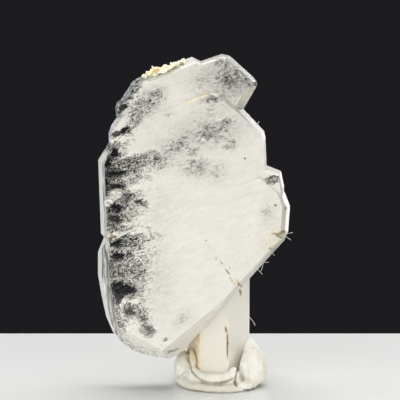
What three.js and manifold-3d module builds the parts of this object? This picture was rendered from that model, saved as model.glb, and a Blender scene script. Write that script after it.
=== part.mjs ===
// A faden quartz specimen on a foot of pressed putty, in millimetres.
// X runs to the right and Z up as the broad face is seen, and Y runs from that face to the back.
// The origin is on the surface that the putty rests on, under the middle of the specimen.

import * as THREE from 'three';
import { ConvexGeometry } from 'three/addons/geometries/ConvexGeometry.js';
import { mergeVertices } from 'three/addons/utils/BufferGeometryUtils.js';
import Module from 'manifold-3d';

const wasm = await Module();
wasm.setup();

// Driving dimensions

const pieceGap = 0.3; // left between two pieces that touch
const slack = 1e-6; // how far out a corner may lie and still count as on a crystal
const cornerGrain = 1e-4; // corners closer than this are one corner
const meshGrain = 1e-5;

const outerBevel = 0.6; // seen width of the steep facet from a crystal's waist to its front
const innerBevel = 0.28; // seen width of the narrow facet along the front face's rim
const backOuterBevel = 0.95;
const backInnerBevel = 0.35;
const rimSteepness = 1.15; // depth of a rim facet for each unit of its width

const puttyBase = { x: 3.3, y: 0.2, radiusX: 5.75, radiusY: 5.3 };
const puttyPadHeight = 0.7;
const roundSteps = 28; // facets round the putty's lumps
const lumpRings = 14;

// The plate's crystals. An outline lists [x, z, outer bevel, inner bevel] anticlockwise, the
// bevels being those of the side that starts there. A face has its depth at the outline's middle,
// and its rise in y for each millimetre along x and z.

const bottomCrystal = {
	waist: -1.7,
	front: { y: -4.4, alongX: 0.014, alongZ: -0.004 },
	back: { y: 0.85, alongX: 0.08, alongZ: 0.012 }, // thinner towards the clear left edge
	outline: [
		[-12.66, 18.1, 0.62, 1.0],
		[-12.68, 15.1, 0.62, 0.95],
		[-12.25, 12.4, 0.66, 0.8],
		[-11.65, 9.5, 0.6, 0.45],
		[-10.75, 7.4, 0.6],
		[-9.55, 5.9, 0.55],
		[-7.85, 4.75, 0.5],
		[-5.85, 4.15, 0.5],
		[-3.2, 3.75, 0.45],
		[-1.45, 4.8, 0.7, 0.4],
		[7.3, 14.5, 0.6, 0.35],
		[11.9, 19.65, 0.6],
		[12.42, 20.8, 0.55, 0.75],
		[12.65, 24.2, 0.55, 0.6],
		[12.0, 25.95, 0.5],
		[8.95, 28.7, 0.3, 0.15],
		[4.1, 27.0, 0.25, 0.12],
		[-3.15, 24.2, 0.3, 0.2],
		[-11.85, 20.1, 0.5, 0.35],
	],
	facets: [
		// the facet at the lower right, which narrows upwards, and the broad one at the lower left
		[[-4.1, -4.5, 5.6], [6.0, -4.36, 14.0], [-1.45, -1.7, 4.8]],
		[[-4.1, -4.5, 5.6], [-10.0, -4.55, 8.7], [-7.85, -1.7, 4.75]],
	],
};

const upperCrystal = {
	waist: -2.4,
	front: { y: -4.4, alongX: -0.012, alongZ: -0.02 },
	back: { y: 0.5, alongX: 0.08, alongZ: -0.01 },
	outline: [
		[-12.48, 30.35, 0.6, 0.3],
		[-12.2, 20.7, 0.5],
		[-11.0, 19.1, 0.3],
		[-4.45, 15.2, 0.3],
		[4.75, 15.2, 0.3],
		[9.55, 23.1, 0.3],
		[9.5, 29.85, 0.35, 0.2],
		[9.35, 33.2, 0.4, 0.2],
		[9.15, 34.15, 0.55],
		[6.45, 37.0, 0.5],
		[4.05, 39.2, 0.25, 0.12],
		[2.3, 39.5, 0.25, 0.12],
		[-7.0, 36.2, 0.3, 0.2],
		[-11.2, 32.45, 0.7, 0.35],
	],
	facets: [
		// the smooth face at the right, turned a few degrees away
		[[4.0, -4.5, 26.6], [3.6, -4.6, 31.9], [9.4, -3.9, 30.0]],
	],
};

const leftLobe = {
	waist: -2.1,
	front: { y: -4.2, alongX: -0.02, alongZ: 0.01 },
	back: { y: 0.15, alongX: 0.02, alongZ: 0.0 },
	outline: [
		[-11.08, 32.5, 0.45],
		[-10.3, 31.6, 0.3],
		[-5.7, 30.3, 0.3],
		[0.8, 32.9, 0.3],
		[0.8, 38.1, 0.3],
		[-3.1, 38.8, 0.3],
		[-7.65, 37.5, 0.3],
		[-10.0, 35.95, 0.45],
		[-10.75, 34.9, 0.5],
		[-11.12, 33.85, 0.5],
	],
	facets: [],
};

const leftLedge = {
	waist: -2.1,
	front: { y: -3.95, alongX: -0.02, alongZ: 0.02 },
	back: { y: -0.2, alongX: 0.02, alongZ: 0.0 },
	outline: [
		[-10.15, 36.05, 0.35],
		[-7.0, 34.9, 0.3],
		[-5.7, 36.85, 0.3],
		[-7.0, 38.8, 0.3],
		[-9.45, 38.25, 0.35],
		[-10.0, 37.9, 0.35],
		[-10.22, 37.1, 0.35],
	],
	facets: [],
};

const topCrystal = {
	waist: -2.0,
	front: { y: -4.12, alongX: 0.022, alongZ: 0.03 },
	back: { y: 0.2, alongX: 0.015, alongZ: -0.02 },
	outline: [
		[-9.75, 37.6, 0.5],
		[-5.7, 34.9, 0.3],
		[3.4, 37.0, 0.3],
		[3.2, 41.4, 0.3],
		[1.1, 43.1, 0.3],
		[-0.25, 43.75, 0.7, 0.35],
		[-6.6, 41.3, 0.7, 0.35],
		[-7.9, 40.7, 0.65, 0.3],
		[-9.5, 38.2, 0.6, 0.3],
	],
	facets: [],
};

const topRightCrystal = {
	waist: -1.8,
	front: { y: -4.0, alongX: -0.012, alongZ: 0.012 },
	back: { y: 0.5, alongX: -0.02, alongZ: -0.015 },
	outline: [
		[1.2, 43.3, 0.3],
		[-1.8, 42.3, 0.3],
		[-3.1, 38.1, 0.3],
		[-1.8, 34.2, 0.3],
		[4.1, 34.9, 0.4],
		[6.5, 37.0, 0.75, 0.35],
		[8.3, 40.15, 0.35, 0.2],
		[8.1, 40.75, 0.35, 0.2],
		[7.55, 41.3, 0.5],
		[4.95, 43.65, 0.35],
		[4.5, 43.95, 0.3],
		[3.15, 44.18, 0.3],
	],
	facets: [],
};

const rightLobe = {
	waist: -2.0,
	front: { y: -3.9, alongX: 0.03, alongZ: 0.01 },
	back: { y: 0.3, alongX: -0.03, alongZ: 0.0 },
	outline: [
		[8.95, 29.75, 0.3],
		[7.35, 27.7, 0.3],
		[8.05, 23.1, 0.3],
		[11.3, 23.1, 0.3],
		[12.05, 25.85, 0.35],
		[11.83, 26.9, 0.35],
		[11.75, 28.2, 0.35],
		[11.35, 28.9, 0.45],
		[9.6, 29.6, 0.45],
	],
	facets: [],
};

const plateCrystals = [
	bottomCrystal,
	upperCrystal,
	leftLobe,
	leftLedge,
	topCrystal,
	topRightCrystal,
	rightLobe,
];

// The prismatic crystal behind the plate

const prism = {
	section: [
		[0.8, -1.6],
		[4.6, -1.6],
		[7.55, 3.4],
		[6.6, 4.9],
		[1.15, 4.9],
		[-0.95, 1.45],
	],
	foot: 0.6,
	apex: 29.0,
	axis: [3.1, 1.4],
	capSlope: 51.8, // degrees from level, the slope of a quartz tip's faces
	capDrops: [0, 1.1, 0.3, 1.5, 0.1, 1.2], // how much lower than the apex each face aims
};

// Chips out of the plate, each the space within a few corners

const chips = [
	// the broken corner at the right
	[[10.2, -5.2, 20.8], [13.2, -1.6, 21.5], [13.2, -1.6, 19.4], [11.6, -5.2, 20.0], [10.9, -3.3, 20.5]],
	// nicks along the lowest edge
	[[-4.1, -3.0, 4.5], [-3.7, -1.2, 3.2], [-3.2, -3.0, 4.4], [-3.6, -4.6, 3.2]],
	[[-3.1, -3.2, 4.35], [-2.7, -1.2, 3.2], [-2.3, -3.2, 4.6], [-2.7, -4.6, 3.2]],
	[[-2.2, -3.0, 4.75], [-1.7, -1.4, 3.9], [-1.4, -3.2, 5.1], [-1.5, -4.6, 3.9]],
	// a nick in the left edge
	[[-12.0, -2.6, 14.2], [-13.2, -1.2, 14.6], [-13.2, -1.2, 13.6], [-13.2, -3.2, 14.0]],
];

// The yellow crust along the top left edge: [x, z, half length, half height, half depth, y]

const crustGrains = [
	[-6.3, 41.35, 0.55, 0.35, 0.6, -3.3],
	[-5.75, 41.65, 0.6, 0.5, 0.7, -3.4],
	[-5.1, 42.05, 0.65, 0.7, 0.75, -3.2],
	[-4.9, 41.75, 0.7, 0.5, 0.55, -3.8],
	[-4.35, 42.1, 0.65, 0.55, 0.75, -3.3],
	[-4.0, 41.95, 0.6, 0.45, 0.5, -3.9],
	[-3.6, 42.35, 0.65, 0.55, 0.75, -3.3],
	[-3.1, 42.4, 0.6, 0.5, 0.6, -3.7],
	[-2.7, 42.75, 0.6, 0.5, 0.75, -3.1],
	[-2.2, 42.8, 0.55, 0.45, 0.6, -3.5],
	[-1.8, 43.1, 0.5, 0.4, 0.6, -3.0],
	[-1.35, 43.2, 0.45, 0.35, 0.5, -3.2],
];

// The putty's lumps: [x, y, z, radius along x, y and z]

const puttyLumps = {
	collar: [3.3, 1.0, 0.7, 5.2, 4.7, 1.5],
	leftSmear: [-0.35, -0.3, 2.4, 0.85, 1.3, 2.3],
	leftWall: [-1.5, 0.9, 2.1, 1.2, 3.2, 2.3],
	whiteFold: [5.3, -2.1, 1.35, 0.95, 1.0, 1.25],
	rightLump: [8.0, -1.1, 2.5, 1.9, 2.8, 2.6],
	rightMiddle: [7.8, 1.4, 1.9, 1.7, 2.4, 2.1],
	rearRight: [7.3, 3.3, 2.5, 1.9, 2.2, 3.1],
	rearMiddle: [5.6, 4.4, 1.6, 2.4, 1.4, 2.6],
	rearWall: [3.1, 4.5, 1.5, 4.6, 1.4, 2.9],
	rearLeft: [-0.6, 3.4, 1.6, 1.4, 1.8, 2.2],
};

// Two rolls round the putty's front, one hugging the crystal and a flatter one outside it:
// points [x, y, z] of the middle line, and the section's half width and half height
const puttyRolls = [
	{
		line: [
			[-0.6, 1.6, 2.3],
			[-0.75, -0.6, 1.9],
			[0.2, -2.2, 1.3],
			[2.0, -2.95, 1.05],
			[4.2, -2.85, 1.05],
			[5.6, -1.9, 1.2],
			[6.6, 0.2, 1.5],
		],
		halfWidth: 0.95,
		halfHeight: 1.0,
	},
	{
		line: [
			[-1.6, 2.4, 1.1],
			[-1.85, 0.2, 0.85],
			[-1.2, -2.5, 0.55],
			[1.0, -4.3, 0.4],
			[3.9, -4.85, 0.35],
			[6.3, -4.25, 0.38],
			[8.0, -2.4, 0.6],
			[8.3, 0.2, 0.8],
		],
		halfWidth: 1.0,
		halfHeight: 0.62,
	},
];
const rollSides = 14;
const rollSteps = 36;

// Meshes and solids

function solidFrom(geometry) {
	const bare = geometry.clone();
	bare.deleteAttribute('normal');
	bare.deleteAttribute('uv');
	const merged = mergeVertices(bare, meshGrain);
	return new wasm.Manifold(new wasm.Mesh({
		numProp: 3,
		vertProperties: new Float32Array(merged.attributes.position.array),
		triVerts: new Uint32Array(merged.index.array),
	}));
}

function geometryFrom(solid) {
	const mesh = solid.getMesh();
	const geometry = new THREE.BufferGeometry();
	geometry.setAttribute('position', new THREE.BufferAttribute(mesh.vertProperties, 3));
	geometry.setIndex(new THREE.BufferAttribute(mesh.triVerts, 1));
	geometry.computeVertexNormals();
	return geometry;
}

function joined(solids) {
	return solids.reduce((whole, solid) => whole.add(solid));
}

function hullOf(corners) {
	return solidFrom(new ConvexGeometry(corners));
}

function pointsFrom(rows) {
	return rows.map((row) => new THREE.Vector3(...row));
}

// Crystals as the space inside their faces

function faceAt(normal, point) {
	const unit = normal.clone().normalize();
	return { normal: unit, offset: unit.dot(point) };
}

function meetingPoint(a, b, c) {
	const bc = b.normal.clone().cross(c.normal);
	const volume = a.normal.dot(bc);
	if (Math.abs(volume) < slack) return null;
	const ca = c.normal.clone().cross(a.normal);
	const ab = a.normal.clone().cross(b.normal);
	return bc.multiplyScalar(a.offset)
		.addScaledVector(ca, b.offset)
		.addScaledVector(ab, c.offset)
		.divideScalar(volume);
}

function crystalFrom(faces) {
	const corners = new Map();
	const inside = (point) => faces.every((face) => face.normal.dot(point) <= face.offset + slack);
	for (let i = 0; i < faces.length; i++) {
		for (let j = i + 1; j < faces.length; j++) {
			for (let k = j + 1; k < faces.length; k++) {
				const point = meetingPoint(faces[i], faces[j], faces[k]);
				if (!point || !inside(point)) continue;
				const key = point.toArray().map((value) => Math.round(value / cornerGrain)).join();
				corners.set(key, point);
			}
		}
	}
	return hullOf([...corners.values()]);
}

function grown(faces, distance) {
	return faces.map((face) => ({ normal: face.normal, offset: face.offset + distance }));
}

function middleOf(outline) {
	const sum = outline.reduce(([x, z], corner) => [x + corner[0], z + corner[1]], [0, 0]);
	return [sum[0] / outline.length, sum[1] / outline.length];
}

// Two facets from the waist to the front or back face. towards is -1 for the front, 1 for the back.
function bevelFaces(from, to, waist, faceY, towards, [outer, inner]) {
	const outward = new THREE.Vector3(to[1] - from[1], 0, from[0] - to[0]).normalize();
	const innerDepth = inner * rimSteepness;
	const outerDepth = Math.abs(faceY - waist) - innerDepth;
	const atWaist = new THREE.Vector3(from[0], waist, from[1]);
	const atRim = atWaist.clone().addScaledVector(outward, -outer);
	atRim.y += towards * outerDepth;
	const steep = outward.clone().setY(towards * outer / outerDepth);
	const shallow = outward.clone().setY(towards * inner / innerDepth);
	return [faceAt(steep, atWaist), faceAt(shallow, atRim)];
}

function facetThrough(rows, within) {
	const [a, b, c] = pointsFrom(rows);
	const normal = b.clone().sub(a).cross(c.clone().sub(a));
	if (normal.dot(within.clone().sub(a)) > 0) normal.negate();
	return faceAt(normal, a);
}

function tabletFaces({ outline, waist, front, back, facets }) {
	const [x, z] = middleOf(outline);
	const faces = [
		faceAt(new THREE.Vector3(front.alongX, -1, front.alongZ), new THREE.Vector3(x, front.y, z)),
		faceAt(new THREE.Vector3(-back.alongX, 1, -back.alongZ), new THREE.Vector3(x, back.y, z)),
	];
	outline.forEach((corner, index) => {
		const next = outline[(index + 1) % outline.length];
		const bevels = [corner[2] ?? outerBevel, corner[3] ?? innerBevel];
		faces.push(...bevelFaces(corner, next, waist, front.y, -1, bevels));
		faces.push(...bevelFaces(corner, next, waist, back.y, 1, [backOuterBevel, backInnerBevel]));
	});
	const within = new THREE.Vector3(x, waist, z);
	facets.forEach((rows) => faces.push(facetThrough(rows, within)));
	return faces;
}

function prismFaces({ section, foot, apex, axis, capSlope, capDrops }) {
	const faces = [faceAt(new THREE.Vector3(0, 0, -1), new THREE.Vector3(0, 0, foot))];
	const rise = 1 / Math.tan(THREE.MathUtils.degToRad(capSlope));
	section.forEach((corner, index) => {
		const next = section[(index + 1) % section.length];
		const outward = new THREE.Vector3(next[1] - corner[1], corner[0] - next[0], 0).normalize();
		faces.push(faceAt(outward, new THREE.Vector3(corner[0], corner[1], 0)));
		const aim = new THREE.Vector3(axis[0], axis[1], apex - capDrops[index]);
		faces.push(faceAt(outward.clone().setZ(rise), aim));
	});
	return faces;
}

// Rounded lumps

function lump([x, y, z, radiusX, radiusY, radiusZ]) {
	const ball = new THREE.SphereGeometry(1, roundSteps, lumpRings);
	ball.rotateX(Math.PI / 2);
	ball.scale(radiusX, radiusY, radiusZ);
	ball.translate(x, y, z);
	return solidFrom(ball);
}

function crustGrain([x, z, halfLength, halfHeight, halfDepth, y]) {
	const grain = new THREE.IcosahedronGeometry(1, 1);
	grain.rotateY(x + z);
	grain.rotateX(x - y);
	grain.scale(halfLength, halfDepth, halfHeight);
	grain.translate(x, y, z);
	return solidFrom(grain);
}

function slabBelow(height) {
	const wide = 60;
	const slab = new THREE.BoxGeometry(wide, wide, wide);
	slab.translate(0, 0, height - wide / 2);
	return solidFrom(slab);
}

// The pieces

const crystalFaces = [...plateCrystals.map(tabletFaces), prismFaces(prism)];

const chipSolids = chips.map((corners) => hullOf(pointsFrom(corners)));
const quartzSolid = joined(crystalFaces.map(crystalFrom)).subtract(joined(chipSolids));

// What a neighbour has to stay out of
const quartzRoom = joined(crystalFaces.map((faces) => crystalFrom(grown(faces, pieceGap))));

const crustSolid = joined(crustGrains.map(crustGrain)).subtract(quartzRoom);

function puttyPad() {
	const bulge = 0.05; // past the foot's edge, as a share of its radius
	const profile = [
		new THREE.Vector2(0, 0),
		new THREE.Vector2(1, 0),
		new THREE.Vector2(1 + bulge, puttyPadHeight * 0.4),
		new THREE.Vector2(1, puttyPadHeight * 0.8),
		new THREE.Vector2(1 - 2 * bulge, puttyPadHeight),
		new THREE.Vector2(0, puttyPadHeight),
	];
	const pad = new THREE.LatheGeometry(profile, roundSteps);
	pad.rotateX(Math.PI / 2);
	pad.scale(puttyBase.radiusX, puttyBase.radiusY, 1);
	pad.translate(puttyBase.x, puttyBase.y, 0);
	return solidFrom(pad);
}

function puttyRoll({ line, halfWidth, halfHeight }) {
	const section = new THREE.Shape();
	section.absellipse(0, 0, halfHeight, halfWidth, 0, 2 * Math.PI);
	return solidFrom(new THREE.ExtrudeGeometry(section, {
		steps: rollSteps,
		curveSegments: rollSides / 2,
		bevelEnabled: false,
		extrudePath: new THREE.CatmullRomCurve3(pointsFrom(line)),
	}));
}

const puttyWad = joined([
	puttyPad(),
	...puttyRolls.map(puttyRoll),
	...Object.values(puttyLumps).map(lump),
]);
const puttySolid = puttyWad.subtract(slabBelow(0)).subtract(quartzRoom);

const part = new THREE.Group();

function addPiece(name, solid, colour, roughness) {
	const material = new THREE.MeshStandardMaterial({ color: colour, roughness, metalness: 0 });
	const mesh = new THREE.Mesh(geometryFrom(solid), material);
	mesh.name = name;
	part.add(mesh);
}

addPiece('quartz', quartzSolid, 0xe6e2d7, 0.08);
addPiece('yellow_crust', crustSolid, 0xf2e6a8, 0.7);
addPiece('putty', puttySolid, 0xe2ddcf, 0.65);

export default part;
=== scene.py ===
import math
import bpy
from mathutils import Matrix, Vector, noise


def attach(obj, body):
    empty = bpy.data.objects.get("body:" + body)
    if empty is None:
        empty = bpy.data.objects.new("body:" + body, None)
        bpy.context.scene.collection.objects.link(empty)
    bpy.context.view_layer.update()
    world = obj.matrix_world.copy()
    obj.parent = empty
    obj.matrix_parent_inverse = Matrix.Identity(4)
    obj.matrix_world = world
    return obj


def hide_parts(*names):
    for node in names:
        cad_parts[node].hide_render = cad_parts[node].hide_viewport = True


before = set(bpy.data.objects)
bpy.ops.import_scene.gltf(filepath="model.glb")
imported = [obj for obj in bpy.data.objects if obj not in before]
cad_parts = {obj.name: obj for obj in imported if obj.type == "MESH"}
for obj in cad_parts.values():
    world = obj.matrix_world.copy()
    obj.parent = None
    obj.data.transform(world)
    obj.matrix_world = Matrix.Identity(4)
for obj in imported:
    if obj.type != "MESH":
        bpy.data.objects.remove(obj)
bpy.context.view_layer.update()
mm = 0.001  # the settings below are in millimetres


# Mesh helpers

def pick(piece):
    bpy.ops.object.select_all(action="DESELECT")
    piece.select_set(True)
    bpy.context.view_layer.objects.active = piece


def applyModifier(piece, kind, **settings):
    modifier = piece.modifiers.new(kind.title(), kind)
    for name, value in settings.items():
        setattr(modifier, name, value)
    pick(piece)
    bpy.ops.object.modifier_apply(modifier=modifier.name)


def joinPieces(pieces, name):
    bpy.ops.object.select_all(action="DESELECT")
    for piece in pieces:
        piece.select_set(True)
    bpy.context.view_layer.objects.active = pieces[0]
    bpy.ops.object.join()
    whole = bpy.context.object
    whole.name = name
    whole.data.name = name
    bpy.ops.object.transform_apply(location=True, rotation=True, scale=True)
    return whole


def swell(piece, amount):
    # moves each point out by amount(place in millimetres), in millimetres
    normals = [vertex.normal.copy() for vertex in piece.data.vertices]
    for vertex, normal in zip(piece.data.vertices, normals):
        vertex.co += normal * amount(vertex.co / mm) * mm


def copyOfNode(nodeName, name):
    piece = bpy.data.objects.new(name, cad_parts[nodeName].data.copy())
    bpy.context.scene.collection.objects.link(piece)
    pick(piece)
    bpy.ops.object.mode_set(mode="EDIT")
    bpy.ops.mesh.select_all(action="SELECT")
    bpy.ops.mesh.remove_doubles(threshold=0.002 * mm)
    bpy.ops.mesh.dissolve_limited(angle_limit=math.radians(0.4))
    bpy.ops.object.mode_set(mode="OBJECT")
    return piece


# Shader helpers

class Signal:  # a socket that Python can do sums with
    def __init__(self, finish, socket):
        self.finish = finish
        self.socket = socket

    def sum(self, operation, *values):
        return self.finish.add("ShaderNodeMath", {"operation": operation}, dict(enumerate(values)))

    def __add__(self, other):
        return self.sum("ADD", self, other)

    __radd__ = __add__

    def __sub__(self, other):
        return self.sum("SUBTRACT", self, other)

    def __rsub__(self, other):
        return self.sum("SUBTRACT", other, self)

    def __mul__(self, other):
        return self.sum("MULTIPLY", self, other)

    __rmul__ = __mul__

    def absolute(self):
        return self.sum("ABSOLUTE", self)

    def most(self, other):
        return self.sum("MAXIMUM", self, other)

    def least(self, other):
        return self.sum("MINIMUM", self, other)

    def towards(self, other, share):
        return self + share * (other - self)

    def smooth(self, low, high):
        sockets = {"Value": self, "From Min": low, "From Max": high}
        return self.finish.add("ShaderNodeMapRange", {"interpolation_type": "SMOOTHSTEP"}, sockets)


class Finish:  # one material and its nodes
    def __init__(self, name):
        self.material = bpy.data.materials.new(name)
        self.material.use_nodes = True
        self.tree = self.material.node_tree
        self.tree.nodes.clear()
        self.place = self.vector("SCALE", self.add("ShaderNodeTexCoord", output="Object"), scale=1 / mm)

    def add(self, kind, settings=None, sockets=None, output=0):
        node = self.tree.nodes.new(kind)
        for name, value in (settings or {}).items():
            setattr(node, name, value)
        for name, value in (sockets or {}).items():
            if isinstance(value, Signal):
                self.tree.links.new(value.socket, node.inputs[name])
            else:
                node.inputs[name].default_value = value
        return Signal(self, node.outputs[output])

    def vector(self, operation, *values, scale=None):
        sockets = dict(enumerate(values))
        if scale is not None:
            sockets["Scale"] = scale
        return self.add("ShaderNodeVectorMath", {"operation": operation}, sockets)

    def parts(self, vector):
        node = self.add("ShaderNodeSeparateXYZ", None, {0: vector}).socket.node
        return [Signal(self, socket) for socket in node.outputs]

    def noise(self, place, scale, detail=2.0, roughness=0.5, output="Fac"):
        sockets = {"Vector": place, "Scale": scale, "Detail": detail, "Roughness": roughness}
        return self.add("ShaderNodeTexNoise", None, sockets, output)

    def stretched(self, place, slant, size):
        # a pattern on the result is size times as long, deep and high, with its length on the slant
        sockets = {"Vector": place, "Rotation": (0, math.radians(-slant), 0), "Scale": size}
        return self.add("ShaderNodeMapping", {"vector_type": "TEXTURE"}, sockets)

    def spot(self, place, x, z, halfLength, halfHeight, slant=0.0):
        # 1 in the middle and 0 from its edge on, at any depth
        sockets = {"Vector": place, "Location": (x, 0, z), "Rotation": (0, math.radians(-slant), 0),
                   "Scale": (halfLength, 1000.0, halfHeight)}
        local = self.add("ShaderNodeMapping", {"vector_type": "TEXTURE"}, sockets)
        return self.add("ShaderNodeTexGradient", {"gradient_type": "SPHERICAL"}, {0: local}, "Fac")

    def spots(self, place, rows):
        # the strongest of many spots, each row being x, z, half length, half height, slant, strength
        total = None
        for x, z, halfLength, halfHeight, slant, strength in rows:
            one = self.spot(place, x, z, halfLength, halfHeight, slant) * strength
            total = one if total is None else total.most(one)
        return total

    def blend(self, factor, first, second):
        first, second = [(*c, 1.0) if isinstance(c, tuple) else c for c in (first, second)]
        sockets = {0: factor, 6: first, 7: second}
        return self.add("ShaderNodeMix", {"data_type": "RGBA"}, sockets, 2)

    def fromMiddle(self, place, scale):
        return (self.noise(place, scale, 2.0) - 0.5).absolute()

    def bump(self, height, strength, distance, under=None):
        sockets = {"Height": height, "Strength": strength, "Distance": distance * mm}
        if under is not None:
            sockets["Normal"] = under
        return self.add("ShaderNodeBump", None, sockets)

    def mixed(self, factor, first, second):
        return self.add("ShaderNodeMixShader", None, {0: factor, 1: first, 2: second})

    def done(self, shader):
        output = self.tree.nodes.new("ShaderNodeOutputMaterial")
        self.tree.links.new(shader.socket, output.inputs["Surface"])
        return self.material


def coat(piece, material):
    piece.data.materials.clear()
    piece.data.materials.append(material)


# Camera, floor and lights

stageSettings = {
    "cameraPlace": (0.81, -183.11, 45.05),
    "cameraDip": 6.3,
    "lens": 124.9,
    "floorSides": 80.0,
    "floorFront": -75.0,
    "floorBack": 33.0,
    "floorThickness": 3.0,
    "floorColour": (0.80, 0.81, 0.79),
    "floorShade": (0.77, 0.78, 0.775),
    "floorEdge": 0.4,
    "roomColour": (0.012, 0.012, 0.014),
}

# name: place, aim, width, height, watts, colour
lamps = {
    "keySoftbox": ((-170, -270, 150), (0, 0, 20), 240, 240, 0.41, (1.0, 0.985, 0.95)),
    "fillSoftbox": ((210, -260, 90), (0, 0, 20), 220, 220, 0.40, (1.0, 0.985, 0.95)),
    "frontSoftbox": ((20, -330, 140), (0, 0, 12), 260, 90, 0.18, (1.0, 0.99, 0.97)),
    "topSoftbox": ((20, 40, 300), (0, 0, 0), 260, 200, 0.95, (1.0, 1.0, 1.0)),
    "leftRearPanel": ((-170, 240, 60), (0, 0, 22), 90, 260, 0.10, (0.80, 0.88, 1.0)),
    "leftSidePanel": ((-215, -110, 22), (0, 0, 8), 120, 90, 0.15, (0.93, 0.96, 1.0)),
    "rightRearPanel": ((150, 250, 60), (0, 0, 22), 70, 260, 0.22, (1.0, 0.98, 0.95)),
}


def addCamera():
    place = [value * mm for value in stageSettings["cameraPlace"]]
    bpy.ops.object.camera_add(location=place)
    camera = bpy.context.object
    camera.rotation_euler = (math.radians(90 - stageSettings["cameraDip"]), 0, 0)
    camera.data.lens = stageSettings["lens"]
    camera.data.clip_start = 0.005
    bpy.context.scene.camera = camera


def addFloor():
    front, back = stageSettings["floorFront"], stageSettings["floorBack"]
    thickness = stageSettings["floorThickness"]
    bpy.ops.mesh.primitive_cube_add(size=1, location=(0, (front + back) / 2 * mm, -thickness / 2 * mm))
    floor = bpy.context.object
    floor.name = "floor"
    floor.scale = (2 * stageSettings["floorSides"] * mm, (back - front) * mm, thickness * mm)
    bpy.ops.object.transform_apply(location=True, rotation=True, scale=True)
    applyModifier(floor, "BEVEL", width=stageSettings["floorEdge"] * mm, segments=3)
    finish = Finish("paleFloor")
    cloud = finish.noise(finish.place, 0.04, 3.0)
    colour = finish.blend(cloud, stageSettings["floorColour"], stageSettings["floorShade"])
    roughness = 0.32 + 0.1 * finish.noise(finish.place, 0.6, 3.0)
    shader = finish.add("ShaderNodeBsdfPrincipled", None, {"Base Color": colour, "Roughness": roughness})
    coat(floor, finish.done(shader))


def addLamps():
    for name, (place, aim, width, height, watts, colour) in lamps.items():
        place = Vector(place) * mm
        bpy.ops.object.light_add(type="AREA", location=place)
        lamp = bpy.context.object
        lamp.name = name
        lamp.data.shape = "RECTANGLE"
        lamp.data.size = width * mm
        lamp.data.size_y = height * mm
        lamp.data.energy = watts
        lamp.data.color = colour
        lamp.rotation_euler = (Vector(aim) * mm - place).to_track_quat("-Z", "Y").to_euler()


def setRoom():
    world = bpy.data.worlds.new("darkRoom")
    world.use_nodes = True
    world.node_tree.nodes["Background"].inputs["Color"].default_value = (*stageSettings["roomColour"], 1)
    bpy.context.scene.world = world
    bpy.context.scene.view_settings.view_transform = "Standard"


addCamera()
addFloor()
addLamps()
setRoom()
print("stage ready")


# Quartz

quartzSettings = {
    "edgeWidth": 0.07,
    "edgeAngle": 18.0,
    "ior": 1.544,
    "milk": (0.90, 0.872, 0.81),
    "thinMilk": (0.30, 0.30, 0.275),
    "stemMilk": (0.81, 0.775, 0.685),
    # painted light: a lighter colour for the prism's side faces
    "stemSidePaintedLight": (0.97, 0.93, 0.85),
    "ochre": (0.88, 0.66, 0.30),
    "brown": (0.20, 0.105, 0.03),
    "rust": (0.60, 0.42, 0.17),
    "cream": (0.86, 0.79, 0.58),
    "gold": (0.90, 0.76, 0.36),
    # near black for painted shade on rim facets
    "paintedDark": (0.03, 0.03, 0.035),
    "glass": (0.97, 0.975, 0.97),
    "shadowGlass": (0.9, 0.9, 0.9),
    "bandSlant": 17.0,
    "bandWarp": 1.5,
    # where a change starts and where it is complete, in x, y or z
    "milkAcross": (-13.4, -0.9),
    "milkAtTop": (31.0, 34.0),
    "leftRimAcross": (-10.4, -9.8),
    "leftRimTop": (31.0, 32.0),
    "topRimAcross": (-7.2, -6.4),
    "topRimFoot": (33.0, 33.6),
    "plateBack": (1.4, 1.7),
    "stemLeft": (-1.6, -1.3),
    "stemBack": (1.4, 2.0),
    # the plate's slanting lower edge is where this much x, less this much z, plus the third is 0
    "lowerEdge": (0.743, 0.669, 4.29),
    # x, z, half length, half height
    "creamLobe": (10.4, 19.8, 2.6, 3.4),
    "creamFacet": (7.2, 39.0, 1.6, 2.2),
}

# x, z, half length, half height, slant, strength
clearWindows = [
    (-8.0, 39.6, 2.3, 1.1, 48, 1.5),
    (-6.9, 41.0, 1.3, 0.6, 25, 1.2),
    (-9.4, 37.2, 1.5, 0.8, 35, 2.4),
    (-9.2, 33.9, 1.7, 0.65, 22, 2.6),
    (-10.4, 31.6, 1.0, 1.4, 0, 1.0),
    (-11.3, 30.0, 1.0, 0.9, -45, 0.9),
    (-11.6, 27.4, 0.5, 2.4, 0, 0.9),
    (-9.9, 28.7, 2.6, 0.9, 5, 0.8),
    (-7.2, 30.2, 4.2, 1.7, 14, 0.5),
    (-9.9, 26.9, 2.0, 0.9, 3, 0.7),
    (-8.6, 25.4, 1.2, 1.9, 0, 0.5),
    (-6.8, 24.9, 1.5, 1.0, -12, 0.9),
    (-10.1, 24.2, 1.3, 0.9, -30, 1.1),
    (-9.9, 22.6, 2.0, 1.0, 0, 0.6),
    (-8.8, 20.7, 1.6, 0.6, 20, 0.7),
    (-10.2, 19.5, 1.6, 0.7, 8, 1.0),
    (-7.8, 19.6, 2.6, 1.1, 8, 0.5),
    (-10.0, 17.9, 1.2, 0.9, 0, 1.2),
    (-8.7, 18.1, 1.3, 0.5, 10, 0.7),
    (-8.3, 15.8, 3.6, 2.0, -5, 0.35),
    (-9.3, 13.3, 2.1, 1.3, -6, 2.2),
    (-9.9, 12.2, 0.8, 1.0, 0, 1.2),
    (-8.3, 10.5, 0.8, 1.2, 0, 1.1),
    (-6.8, 9.9, 1.1, 0.8, -30, 1.3),
    (-6.1, 8.1, 1.7, 1.1, -40, 1.3),
    (10.2, 28.0, 1.3, 0.8, -12, 1.2),
    (-3.7, 6.9, 0.5, 0.3, 30, 1.8),
    (-2.8, 5.1, 1.3, 0.3, 22, 1.8),
    (8.1, 40.3, 0.5, 0.9, 20, 1.2),
]

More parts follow.
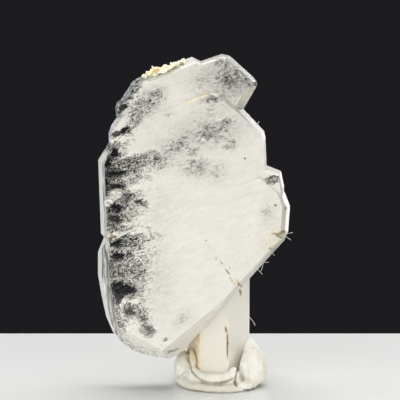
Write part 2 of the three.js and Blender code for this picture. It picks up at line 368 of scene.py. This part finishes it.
milkTongues = [
    (-9.4, 35.1, 2.5, 1.3, 22, 1.0),
    (-9.5, 33.3, 1.8, 0.6, 20, 0.9),
    (-6.9, 32.3, 3.9, 1.3, 17, 0.9),
    (-7.2, 27.1, 2.4, 0.65, 16, 0.8),
    (-11.0, 25.1, 1.2, 0.75, 27, 0.9),
    (-7.4, 22.4, 2.8, 0.9, 16, 0.7),
    (-10.4, 20.7, 1.7, 0.55, 13, 1.0),
    (-7.7, 21.3, 2.2, 0.6, 12, 0.6),
    (-11.1, 18.4, 0.9, 0.4, 20, 0.9),
    (-9.0, 12.0, 0.9, 0.4, 14, 1.1),
    (-7.7, 12.0, 1.2, 0.4, -5, 1.1),
    (-7.7, 7.6, 3.8, 2.3, -31, 0.9),
    (-3.6, 24.6, 4.2, 4.0, 15, 0.6),
    (-3.8, 13.0, 3.4, 6.0, 0, 0.35),
]

# places in the milky part where it thins and turns grey and speckled
thinPatches = [
    (3.6, 43.0, 2.2, 1.3, -15, 0.8),
    (5.0, 41.2, 4.0, 2.6, -10, 0.85),
    (6.9, 40.6, 1.2, 2.2, 40, 0.9),
    (-1.6, 9.8, 2.4, 1.2, 40, 0.5),
    (1.0, 40.6, 2.2, 1.2, 15, 0.5),
    (2.4, 38.4, 2.4, 0.9, 5, 0.9),
    (1.9, 36.8, 4.4, 1.7, 15, 0.45),
    (-5.6, 38.0, 3.6, 1.9, 42, 1.1),
    (-7.6, 35.7, 2.8, 1.2, 42, 1.3),
    (-1.5, 33.4, 4.4, 1.8, 8, 0.45),
    (-3.2, 36.4, 2.6, 1.6, 30, 0.35),
    (2.2, 34.2, 5.0, 2.6, 12, 0.7),
    (-2.0, 32.4, 3.6, 1.9, 12, 0.75),
    (4.2, 35.4, 2.2, 1.8, 0, 0.6),
    (4.8, 32.6, 1.6, 1.3, 10, 0.8),
    (0.2, 29.6, 3.6, 2.2, 5, 0.7),
    (-4.2, 30.4, 3.0, 2.2, 10, 0.6),
    (0.0, 31.6, 1.4, 1.6, 0, 0.8),
    (2.8, 29.2, 1.2, 1.8, 0, 0.6),
    (9.3, 23.6, 1.6, 2.4, 0, 0.5),
    (10.4, 18.8, 1.8, 2.2, 0, 0.5),
    (-4.6, 20.6, 2.4, 1.2, 10, 0.4),
]

# wider places where the milk is greyer
greyZones = [
    (5.0, 40.8, 7.0, 4.4, 10, 1.6),
    (1.5, 42.2, 6.0, 2.4, 8, 0.6),
    (2.0, 34.2, 8.5, 3.6, 10, 0.9),
    (-3.0, 31.6, 6.0, 3.6, 10, 0.6),
    (1.5, 29.0, 5.0, 2.6, 0, 0.5),
    (-6.0, 37.4, 4.0, 3.0, 40, 0.6),
    (10.3, 20.5, 2.6, 6.5, 0, 0.35),
    (-5.0, 15.0, 3.4, 8.0, 0, 0.6),
    (-4.6, 24.0, 4.0, 4.5, 8, 0.35),
    (-1.4, 9.4, 3.0, 1.8, 40, 0.35),
]

brownStains = [
    (-5.4, 38.5, 0.35, 0.35, 0, 0.8),
    (10.6, 24.6, 0.35, 0.3, 0, 1.0),
    (12.0, 24.2, 0.45, 0.35, 0, 1.0),
    (11.5, 20.9, 0.8, 0.5, 10, 1.8),
    (10.5, 20.9, 0.8, 0.2, 0, 1.5),
    (10.0, 18.95, 0.4, 0.4, 0, 1.3),
    (10.9, 19.4, 1.2, 0.2, 41, 1.1),
    (11.0, 20.0, 0.9, 0.6, 30, 0.6),
    (6.6, 30.7, 0.3, 0.3, 0, 1.0),
    (1.6, 20.0, 0.3, 0.3, 0, 0.7),
    (1.9, 19.1, 0.2, 0.35, 0, 0.6),
    (2.9, 17.6, 0.25, 0.4, 0, 0.8),
    (4.7, 16.4, 0.25, 0.25, 0, 0.7),
    (-10.6, 20.4, 1.2, 0.28, 18, 1.3),
    (-11.0, 18.5, 0.5, 0.5, 0, 0.9),
    (5.0, 14.7, 1.3, 0.3, -52, 0.8),
    (5.9, 14.2, 1.3, 0.35, -60, 1.0),
    (6.3, 13.6, 2.0, 0.25, -65, 1.2),
    (4.45, 5.6, 0.18, 2.9, 0, 1.7),
    (4.3, 7.6, 0.3, 0.9, 10, 1.2),
    (4.55, 5.8, 0.25, 0.6, -8, 1.1),
    (1.7, 9.1, 0.4, 0.5, 0, 0.8),
    (6.2, 12.4, 0.35, 1.5, 12, 0.9),
    (3.6, 17.1, 0.16, 0.9, 38, 1.0),
    (4.4, 15.9, 0.16, 0.9, 38, 1.1),
    (0.0, 6.0, 0.9, 1.6, 0, 0.35),
    (-0.6, 5.2, 1.4, 2.6, 0, 0.45),
]

goldStreaks = [
    (-0.15, 38.2, 1.4, 0.3, 26, 1.2),
    (1.5, 39.1, 1.1, 0.3, 33, 1.2),
    (2.7, 38.95, 0.4, 0.25, 20, 0.9),
]

# painted glints: thin bright lines and spots inside the crystal, put on as lighter, thicker milk
paintedGlints = [
    (-4.7, 21.8, 1.2, 0.5, 10, 0.9),
    (0.4, 39.6, 0.7, 0.18, 60, 1.6),
    (-9.5, 33.5, 1.9, 0.2, 19, 1.5),
    (-8.4, 31.1, 2.1, 0.2, 23, 1.5),
    (-10.2, 25.9, 1.3, 0.9, 20, 1.4),
    (-11.2, 24.9, 1.0, 0.6, 30, 1.6),
    (-9.2, 11.75, 0.8, 0.2, 25, 1.8),
    (-7.9, 12.05, 1.1, 0.17, -4, 1.8),
    (-9.4, 11.4, 0.45, 0.6, 0, 1.2),
    (-6.5, 6.1, 0.7, 0.5, 20, 1.2),
    (1.0, 8.6, 1.3, 1.1, 45, 0.7),
    (1.2, 33.2, 2.2, 0.2, 0, 1.2),
    (3.3, 35.8, 1.3, 0.2, 12, 1.2),
    (3.5, 32.1, 0.6, 0.3, 0, 1.2),
    (-7.7, 40.3, 0.35, 0.35, 0, 1.6),
    (-7.0, 25.5, 0.7, 0.16, 10, 1.4),
]


def quartzFinish():
    settings = quartzSettings
    finish = Finish("faden quartz")
    place = finish.place
    x, y, z = finish.parts(place)
    slant = settings["bandSlant"]

    # growth bands rise to the right, and everything in the crystal follows them loosely
    along = finish.stretched(place, slant, (2.8, 1.2, 0.65))
    feather = finish.noise(along, 1.1, 4.0, 0.65)
    shift = finish.noise(finish.stretched(place, slant, (2.0, 1.2, 1.0)), 1.4, 3.0, 0.6, "Color")
    shift = finish.vector("SUBTRACT", shift, (0.5, 0.5, 0.5))
    shifted = finish.vector("ADD", place, finish.vector("SCALE", shift, scale=settings["bandWarp"]))
    speckle = finish.noise(finish.stretched(place, slant, (1.2, 1.0, 0.8)), 2.3, 3.0, 0.62)

    # a lace of fine white threads runs where either of two noises crosses its middle value
    ridge = finish.fromMiddle(finish.stretched(shifted, slant, (1.5, 1.0, 0.8)), 1.5)
    ridge = ridge.least(finish.fromMiddle(finish.stretched(shifted, 2 * slant, (1.2, 1.0, 0.9)), 2.8) * 1.2)
    lace = 1 - ridge.smooth(0.0, 0.055)

    # how thick the milk is; the lace shows first and closes up as the milk thickens
    shiftedX = finish.parts(shifted)[0]
    thin = finish.spots(shifted, thinPatches).smooth(0.0, 0.75)
    # painted glints: where bright lines and spots are put in the crystal
    paintedGlint = finish.spots(place, paintedGlints).smooth(0.15, 0.7)
    texture = 0.6 * lace + 1.1 * speckle + 0.35 * feather
    milk = 1.2 * shiftedX.smooth(*settings["milkAcross"]) + 0.35 * z.smooth(*settings["milkAtTop"])
    milk = milk.least(1.1) + 0.8 * finish.spots(shifted, milkTongues)
    milk = milk.least(1.2) - 1.0 * finish.spots(shifted, clearWindows).smooth(0.0, 1.0) - 0.42 * thin
    milkiness = (1.9 * milk - 0.52 + 1.6 * (texture - 0.95)).smooth(0.2, 1.0)
    web = (1 - (ridge - 0.04 * milk).smooth(-0.004, 0.02)) * (0.9 + 0.9 * (feather - 0.45))
    paintedGlint = paintedGlint * (0.35 + 0.65 * lace.most(speckle.smooth(0.5, 0.6)))
    milkiness = milkiness.most(web).most(paintedGlint)

    # facets at the left rim are made milky, and the light and dark streaks put on them below are painted
    # reflection and painted shade
    normal = finish.add("ShaderNodeNewGeometry", output="True Normal")
    facing = finish.parts(normal)[1].absolute()
    rim = 1 - facing.smooth(0.93, 0.985)
    leftRim = rim * (1 - x.smooth(*settings["leftRimAcross"])) * (1 - z.smooth(*settings["leftRimTop"]))
    streak = finish.noise(finish.stretched(place, 96, (3.5, 1.0, 0.35)), 1.3, 4.0, 0.6)
    milkiness = milkiness.towards(0.97, leftRim)
    # facets at the top left are made milky too, and darkened below with painted shade
    topRim = rim * (1 - x.smooth(*settings["topRimAcross"])) * z.smooth(*settings["topRimFoot"])
    milkiness = milkiness.towards(0.9, topRim)

    # the prism under the plate and behind it
    perX, perZ, offset = settings["lowerEdge"]
    underPlate = (x * perX - z * perZ + offset).smooth(-0.15, 0.15)
    stem = underPlate.most(y.smooth(*settings["plateBack"])) * x.smooth(*settings["stemLeft"])
    milkiness = milkiness.most(stem * 0.97)

    mottle = finish.noise(place, 0.55, 4.0, 0.6)
    grey = finish.spots(shifted, greyZones)
    light = 0.86 + 0.2 * (mottle - 0.5) + 0.3 * (feather - 0.5) + 0.2 * (speckle - 0.5)
    light = light - grey * (0.5 + 1.2 * (0.5 - speckle) - 0.25 * lace) - 0.2 * thin
    light = light - 0.07 * (1 - z.smooth(6.0, 24.0)) * (1 - stem)
    # painted highlight: the glints are made at least as light as their mask
    light = light.most(paintedGlint)
    outer = 1 - facing.smooth(0.45, 0.6)
    # painted reflection and painted shade: light and dark streaks on the left rim facets, the outermost
    # ones lighter
    light = light.towards((streak.smooth(0.46, 0.66) - 0.25).towards(0.55 + 0.3 * streak, outer), leftRim)
    # painted shade: the top left rim facets are darkened, most where the milk is thin
    light = light.towards(0.15 + milk * 0.5 + 2.4 * (speckle - 0.5), topRim)
    # painted shade: rim facets at the right, and rim facets facing up near the top, are darkened
    upward = finish.parts(normal)[2].smooth(0.15, 0.5) * z.smooth(31.0, 32.5)
    light = light * (1 - 0.3 * rim * x.smooth(3.0, 5.0) - 0.2 * rim * upward)
    light = light + 0.25 * rim * finish.spot(place, *settings["creamFacet"]).smooth(0.0, 0.6)
    # painted shade: near black on the top left rim where the milk is thin, and between the streaks of the
    # inner left rim facets
    dark = topRim * (1 - speckle.smooth(0.45, 0.6)) * (1 - milk.smooth(0.3, 1.0))
    dark = dark.most(leftRim * (1 - outer) * (1 - streak.smooth(0.40, 0.52)) * 0.85)
    colour = finish.blend(light, settings["thinMilk"], settings["milk"])
    smudge = finish.noise(place, 1.9, 4.0, 0.65)
    # painted light: the prism's side faces, by their facing, get a lighter colour than its front
    stemColour = finish.blend(facing.smooth(0.6, 0.9), settings["stemSidePaintedLight"], settings["stemMilk"])
    ochre = (1 - x.smooth(0.2, 1.6)) * (1 - z.smooth(7.5, 10.0)) * smudge.smooth(0.3, 0.6)
    stemColour = finish.blend(ochre * 0.9, stemColour, settings["ochre"])
    colour = finish.blend(stem * (1 - 0.15 * mottle), colour, stemColour)
    stain = (finish.spots(place, brownStains) * (2.4 * smudge - 0.25)).smooth(0.2, 0.8)
    stain = stain * (1 - y.smooth(-0.6, 0.4)).most(underPlate * (1 - y.smooth(*settings["stemBack"])))
    stain = stain * (1 - y.smooth(-3.4, -2.4) * z.smooth(15.0, 15.8))
    rust = finish.blend(stain.smooth(0.4, 1.0), settings["rust"], settings["brown"])
    colour = finish.blend(stain * 0.92, colour, rust)
    # painted shade: the dark of the rims goes on in near black
    colour = finish.blend(dark, colour, settings["paintedDark"])
    cream = finish.spot(place, *settings["creamLobe"]).smooth(0.0, 1.0) * 0.4
    cream = cream.most(rim * finish.spot(place, *settings["creamFacet"]).smooth(0.0, 0.6) * 0.4)
    colour = finish.blend(cream, colour, settings["cream"])
    gold = finish.spots(place, goldStreaks).smooth(0.1, 0.8) * smudge.smooth(0.3, 0.55)
    colour = finish.blend(gold * 0.7, colour, settings["gold"])

    ripple = finish.noise(along, 0.9, 3.0, 0.5)
    surface = finish.bump(ripple, 0.35, 0.05)
    grain = finish.bump(speckle, 0.25, 0.04, surface)

    milky = finish.add("ShaderNodeBsdfPrincipled", None, {
        "Base Color": colour, "Roughness": 0.35 + 0.15 * mottle, "IOR": settings["ior"],
        "Coat Weight": 0.35, "Coat Roughness": 0.15, "Coat IOR": settings["ior"],
        "Subsurface Weight": 0.3, "Subsurface Radius": (1.0, 0.92, 0.8), "Subsurface Scale": 0.6 * mm,
        "Normal": grain})
    clear = finish.add("ShaderNodeBsdfPrincipled", None, {
        "Base Color": (*settings["glass"], 1), "Roughness": 0.03, "IOR": settings["ior"],
        "Transmission Weight": 1.0, "Normal": surface})
    # shadow rays pass straight through the clear parts, so that light reaches the milk behind them
    passing = finish.add("ShaderNodeBsdfTransparent", None, {"Color": (*settings["shadowGlass"], 1)})
    shadowRay = finish.add("ShaderNodeLightPath", output="Is Shadow Ray")
    clear = finish.mixed(shadowRay, clear, passing)
    return finish.done(finish.mixed(milkiness + stain * 0.8, clear, milky))


def makeQuartz():
    quartz = copyOfNode("quartz", "faden_quartz")
    applyModifier(quartz, "BEVEL", width=quartzSettings["edgeWidth"] * mm, segments=2,
                  limit_method="ANGLE", angle_limit=math.radians(quartzSettings["edgeAngle"]))
    coat(quartz, quartzFinish())
    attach(quartz, "root")
    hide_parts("quartz")
    return quartz


quartz = makeQuartz()
print("quartz done")


# Putty

puttySettings = {
    "voxel": 0.12,
    "smoothing": 0.5,
    "smoothRounds": 8,
    "foot": (3.3, 0.2, 5.75, 5.3, 0.7),  # middle x and y, half length, half depth, height
    # x, y, z, half length, half depth, half height
    "lumps": [
        (3.3, 1.0, 0.7, 5.2, 4.7, 1.5),
        (-0.35, -0.3, 2.4, 0.85, 1.3, 2.3),
        (-1.5, 0.9, 2.1, 1.2, 3.2, 2.3),
        (5.3, -2.1, 1.35, 0.95, 1.0, 1.25),
        (8.0, -1.1, 2.5, 1.9, 2.8, 2.6),
        (7.8, 1.4, 1.9, 1.7, 2.4, 2.1),
        (7.3, 3.3, 2.5, 1.9, 2.2, 3.1),
        (5.6, 4.4, 1.6, 2.4, 1.4, 2.6),
        (3.1, 4.5, 1.5, 4.6, 1.4, 2.9),
        (-0.6, 3.4, 1.6, 1.4, 1.8, 2.2),
    ],
    # a roll that hugs the crystal and a flatter one outside it: middle line, half width, half height
    "rolls": [
        ([(-0.6, 1.6, 2.3), (-0.75, -0.6, 1.9), (0.2, -2.2, 1.3), (2.0, -2.95, 1.05),
          (4.2, -2.85, 1.05), (5.6, -1.9, 1.2), (6.6, 0.2, 1.5)], 1.0, 1.0),
        ([(-1.6, 2.4, 1.1), (-1.85, 0.2, 0.85), (-1.2, -2.5, 0.55), (1.0, -4.3, 0.4),
          (3.9, -4.85, 0.35), (6.3, -4.25, 0.38), (8.0, -2.4, 0.6), (8.3, 0.2, 0.8)], 0.98, 0.6),
    ],
    # creases as seen from the front: x and z along each, then half width and depth
    "creases": [
        ([(-0.95, 5.3), (-0.84, 5.0), (-0.75, 3.8), (-0.3, 2.5), (0.4, 1.7), (1.1, 1.23), (2.2, 1.0),
          (3.5, 0.96), (4.4, 1.14), (5.2, 1.5)], 0.13, 0.4),
        ([(6.1, 5.3), (6.05, 4.7), (5.9, 3.0), (5.7, 2.0), (5.5, 1.0)], 0.15, 0.5),
        ([(-2.3, 1.3), (-1.6, 1.8), (-0.85, 2.3)], 0.13, 0.18),
        ([(-1.9, 4.2), (-1.8, 3.4), (-2.1, 2.6)], 0.2, 0.12),
        ([(5.5, 1.0), (6.4, 0.3), (7.2, 0.0)], 0.16, 0.2),
    ],
    "lumpiness": 0.16,
    "roughness": 0.035,
    "creasesBefore": 1.5,  # y behind which nothing is creased
    "creaseFront": -4.4,  # y at which the heights of the creases are given
    "printsFrom": 6.2,  # x of the lump's finger marks
    "printDepth": 0.035,
    "printPitch": 0.52,
    "colour": (0.93, 0.925, 0.86),
    "shade": (0.82, 0.79, 0.69),
    "greyed": (0.66, 0.64, 0.54),
    # dirt, more on the left, and painted shade in the creases
    "grimeAndCreaseShade": (0.30, 0.27, 0.20),
    "ochre": (0.55, 0.36, 0.12),
}


def distanceTo(line, x, z):
    here = Vector((x, z))
    nearest = math.inf
    for start, end in zip(line, line[1:]):
        start, end = Vector(start), Vector(end)
        share = max(0.0, min(1.0, (here - start).dot(end - start) / (end - start).length_squared))
        nearest = min(nearest, (here - start.lerp(end, share)).length)
    return nearest


def puttySwell(place):
    settings = puttySettings
    amount = noise.fractal(place * 0.45, 1.0, 2.0, 3) * settings["lumpiness"]
    amount += noise.fractal(place * 1.8, 1.0, 2.0, 3) * settings["roughness"]
    if place.y < settings["creasesBefore"]:
        # a point further back is seen higher, by the dip of the view
        rise = math.sin(math.radians(stageSettings["cameraDip"]))
        seenHeight = place.z + (place.y - settings["creaseFront"]) * rise
        for line, halfWidth, depth in settings["creases"]:
            amount -= depth * math.exp(-(distanceTo(line, place.x, seenHeight) / halfWidth) ** 2)
        if place.x > settings["printsFrom"]:
            wander = 0.5 * noise.noise(place * 0.4)
            wave = math.sin((place.x + wander) * math.tau / settings["printPitch"])
            amount += settings["printDepth"] * wave
    return amount


def addBall(x, y, z, halfLength, halfDepth, halfHeight):
    bpy.ops.mesh.primitive_uv_sphere_add(segments=32, ring_count=16, location=(x * mm, y * mm, z * mm))
    bpy.context.object.scale = (halfLength * mm, halfDepth * mm, halfHeight * mm)
    return bpy.context.object


def addTube(points, radius, name, sides=3, flatness=1.0):
    curve = bpy.data.curves.new(name, "CURVE")
    curve.dimensions = "3D"
    curve.bevel_depth = radius * mm
    curve.bevel_resolution = sides
    curve.use_fill_caps = True
    line = curve.splines.new("NURBS")
    line.points.add(len(points) - 1)
    line.use_endpoint_u = True
    line.order_u = 4
    for point, target in zip(line.points, points):
        x, y, z = target
        point.co = (x * mm, y * mm, z / flatness * mm, 1.0)
    tube = bpy.data.objects.new(name, curve)
    bpy.context.scene.collection.objects.link(tube)
    pick(tube)
    bpy.ops.object.convert(target="MESH")
    bpy.context.object.scale.z = flatness
    return bpy.context.object


def puttyFinish():
    settings = puttySettings
    finish = Finish("pressed putty")
    place = finish.place
    x, y, z = finish.parts(place)
    mottle = finish.noise(place, 0.5, 4.0, 0.6)
    colour = finish.blend(mottle.smooth(0.3, 0.7), settings["colour"], settings["shade"])
    dirt = finish.noise(place, 1.6, 5.0, 0.7)
    left = 1 - x.smooth(-1.5, 3.0)
    colour = finish.blend(dirt.smooth(0.5, 0.7) * (0.12 + 0.4 * left), colour, settings["grimeAndCreaseShade"])
    smear = finish.spot(place, -0.3, 4.6, 1.6, 2.6) * (0.4 + dirt)
    colour = finish.blend(smear.smooth(0.1, 0.6) * 0.6, colour, settings["ochre"])
    rolled = (1 - x.smooth(5.2, 6.4)) * (1 - z.smooth(0.9, 1.4)) * (1 - y.smooth(-3.6, -2.8))
    colour = finish.blend((rolled * 0.75).most(0.3 * left), colour, settings["greyed"])
    # painted shade: creases and hollows darkened by an ambient occlusion mask
    paintedCreaseShade = finish.add("ShaderNodeAmbientOcclusion", {"samples": 8}, {"Distance": 0.7 * mm}, "AO")
    colour = finish.blend((1 - paintedCreaseShade.smooth(0.3, 0.85)) * 0.6, colour, settings["grimeAndCreaseShade"])
    surface = finish.bump(finish.noise(place, 2.2, 4.0, 0.6), 0.5, 0.06)
    shader = finish.add("ShaderNodeBsdfPrincipled", None, {
        "Base Color": colour, "Roughness": 0.55, "IOR": 1.45, "Normal": surface,
        "Subsurface Weight": 0.3, "Subsurface Radius": (1.0, 0.9, 0.7), "Subsurface Scale": 0.5 * mm})
    return finish.done(shader)


def makePutty():
    settings = puttySettings
    x, y, halfLength, halfDepth, height = settings["foot"]
    bpy.ops.mesh.primitive_cylinder_add(vertices=64, location=(x * mm, y * mm, height / 2 * mm))
    bpy.context.object.scale = (halfLength * mm, halfDepth * mm, height / 2 * mm)
    blobs = [bpy.context.object] + [addBall(*lump) for lump in settings["lumps"]]
    for line, halfWidth, halfHeight in settings["rolls"]:
        blobs.append(addTube(line, halfWidth, "roll", 5, halfHeight / halfWidth))
    putty = joinPieces(blobs, "mineral_putty")
    applyModifier(putty, "REMESH", mode="VOXEL", voxel_size=settings["voxel"] * mm)
    applyModifier(putty, "SMOOTH", factor=settings["smoothing"], iterations=settings["smoothRounds"])
    swell(putty, puttySwell)
    pick(putty)
    bpy.ops.object.mode_set(mode="EDIT")
    bpy.ops.mesh.select_all(action="SELECT")
    bpy.ops.mesh.bisect(plane_co=(0, 0, 0), plane_no=(0, 0, 1), use_fill=True, clear_inner=True,
                        threshold=0.001 * mm)
    bpy.ops.object.mode_set(mode="OBJECT")
    applyModifier(putty, "BOOLEAN", operation="DIFFERENCE", object=quartz, solver="FAST")
    bpy.ops.object.shade_smooth_by_angle(angle=math.radians(40))
    coat(putty, puttyFinish())
    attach(putty, "root")
    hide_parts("putty")


makePutty()
print("putty done")


# Yellow crust

crustSettings = {
    "voxel": 0.09,
    # x, y, z, half length, half depth, half height
    "grains": [
        (-6.3, -3.3, 41.3, 0.55, 0.6, 0.35), (-5.75, -3.4, 41.6, 0.6, 0.7, 0.5),
        (-5.1, -3.2, 42.0, 0.65, 0.75, 0.7), (-4.9, -3.8, 41.6, 0.7, 0.55, 0.5),
        (-4.35, -3.3, 42.05, 0.65, 0.75, 0.55), (-4.0, -3.9, 41.85, 0.6, 0.5, 0.45),
        (-3.6, -3.3, 42.3, 0.65, 0.75, 0.55), (-3.1, -3.7, 42.3, 0.6, 0.6, 0.5),
        (-2.7, -3.1, 42.7, 0.6, 0.75, 0.5), (-2.2, -3.5, 42.7, 0.55, 0.6, 0.45),
        (-1.8, -3.0, 43.05, 0.5, 0.6, 0.4), (-1.35, -3.2, 43.15, 0.45, 0.5, 0.35),
    ],
    "roughness": 0.32,
    "colour": (0.94, 0.89, 0.56),
    "pale": (0.96, 0.95, 0.86),
    "amber": (0.62, 0.33, 0.06),
}


def crustFinish():
    settings = crustSettings
    finish = Finish("yellow crust")
    place = finish.place
    grain = finish.noise(place, 2.6, 4.0, 0.65)
    colour = finish.blend(grain.smooth(0.35, 0.65), settings["colour"], settings["pale"])
    amber = finish.spot(place, -4.9, 42.0, 1.4, 0.8, 25) * grain
    colour = finish.blend(amber.smooth(0.2, 0.45) * 0.8, colour, settings["amber"])
    surface = finish.bump(finish.noise(place, 5.0, 4.0, 0.7), 0.8, 0.08)
    shader = finish.add("ShaderNodeBsdfPrincipled", None, {
        "Base Color": colour, "Roughness": 0.5 + 0.3 * grain, "Normal": surface,
        "Subsurface Weight": 0.25, "Subsurface Radius": (1.0, 0.85, 0.5), "Subsurface Scale": 0.4 * mm})
    return finish.done(shader)


def makeCrust():
    settings = crustSettings
    crust = joinPieces([addBall(*grain) for grain in settings["grains"]], "crust_grains")
    applyModifier(crust, "REMESH", mode="VOXEL", voxel_size=settings["voxel"] * mm)
    swell(crust, lambda place: (noise.turbulence(place * 1.9, 4, False) - 0.62) * settings["roughness"])
    applyModifier(crust, "BOOLEAN", operation="DIFFERENCE", object=quartz, solver="FAST")
    bpy.ops.object.shade_smooth_by_angle(angle=math.radians(25))
    coat(crust, crustFinish())
    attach(crust, "root")
    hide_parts("yellow_crust")


makeCrust()
print("crust done")


# Lint caught on the right edges

lintSettings = {
    "radius": 0.035,
    "colour": (0.80, 0.80, 0.82),
    "shade": (0.62, 0.60, 0.58),
    "fibres": [
        [(12.1, -2.0, 20.5), (12.4, -2.0, 20.62), (12.66, -2.2, 20.73), (12.98, -2.5, 20.82)],
        [(11.9, -2.3, 20.35), (12.17, -2.4, 20.21), (12.44, -2.6, 20.08), (12.72, -2.9, 19.87)],
        [(10.2, -1.9, 18.3), (10.33, -1.9, 18.08), (10.44, -2.1, 17.91), (10.58, -2.4, 17.75)],
        [(9.1, -2.0, 16.85), (9.32, -2.0, 16.76), (9.58, -2.2, 16.8), (9.87, -2.3, 16.85)],
        [(9.2, -2.0, 16.8), (9.11, -2.2, 16.46), (8.98, -2.5, 16.06), (8.83, -2.6, 15.66)],
        [(8.3, -1.8, 15.95), (8.47, -1.8, 15.79), (8.74, -2.0, 15.5), (9.03, -2.3, 15.24)],
        [(8.1, -2.4, 34.8), (8.27, -2.4, 35.06), (8.41, -2.3, 35.21), (8.53, -2.1, 35.4)],
        [(7.45, 3.4, 8.5), (7.67, 3.4, 8.26), (8.02, 3.3, 7.84), (8.24, 3.1, 7.57), (8.3, 3.0, 7.27)],
    ],
}


def makeLint():
    settings = lintSettings
    tubes = [addTube(points, settings["radius"], "fibre", 2) for points in settings["fibres"]]
    lint = joinPieces(tubes, "lint_fibres")
    bpy.ops.object.shade_smooth()
    finish = Finish("lint")
    tint = finish.noise(finish.place, 2.0)
    colour = finish.blend(tint, settings["colour"], settings["shade"])
    shader = finish.add("ShaderNodeBsdfPrincipled", None, {"Base Color": colour, "Roughness": 0.7})
    coat(lint, finish.done(shader))
    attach(lint, "root")


makeLint()
print("lint done")
